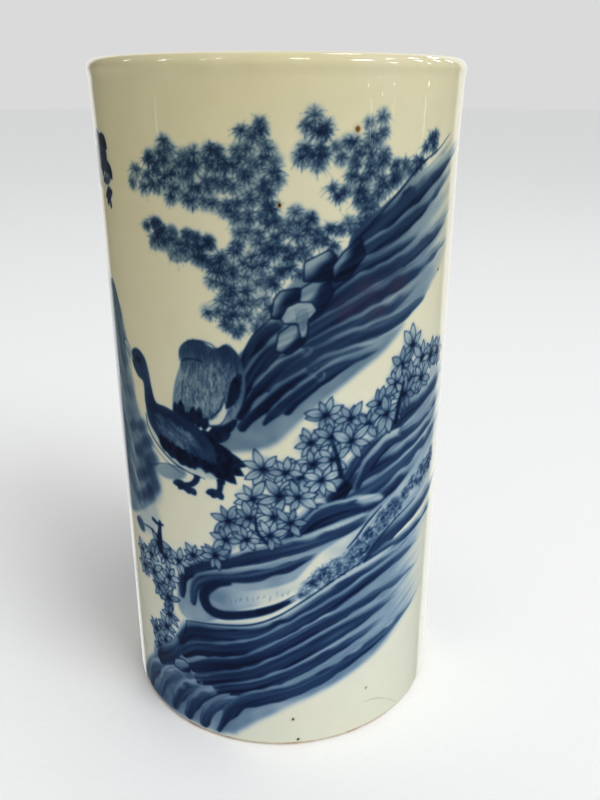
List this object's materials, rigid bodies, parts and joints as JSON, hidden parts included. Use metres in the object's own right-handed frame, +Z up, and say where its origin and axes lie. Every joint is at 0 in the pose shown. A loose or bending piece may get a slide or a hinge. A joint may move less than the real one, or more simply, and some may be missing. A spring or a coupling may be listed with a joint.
{
  "type": "brush holder pot",
  "caption": "Tall cylindrical porcelain pot with a rounded flared lip and a bare foot ring, for standing writing brushes in.",
  "frame": {"origin": "the middle of the foot's resting face, on the pot's axis", "axes": "+Z up along the pot's axis; -Y towards the painted side with the two birds"},
  "size_m": [0.1016, 0.1016, 0.192],
  "materials": {
    "porcelain_clay": "fired, unglazed",
    "bare_foot": "fired, unglazed, toasted orange",
    "painted_glaze": "clear glossy glaze over cobalt blue painting on an ivory ground",
    "ivory_glaze": "clear glossy glaze, ivory"
  },
  "bodies": {
    "root": {"wall": "porcelain_clay", "base_slab": "porcelain_clay", "foot_ring": "bare_foot", "outer_glaze": "painted_glaze", "inner_glaze": "ivory_glaze", "underside_glaze": "ivory_glaze"}
  },
  "joints": []
}
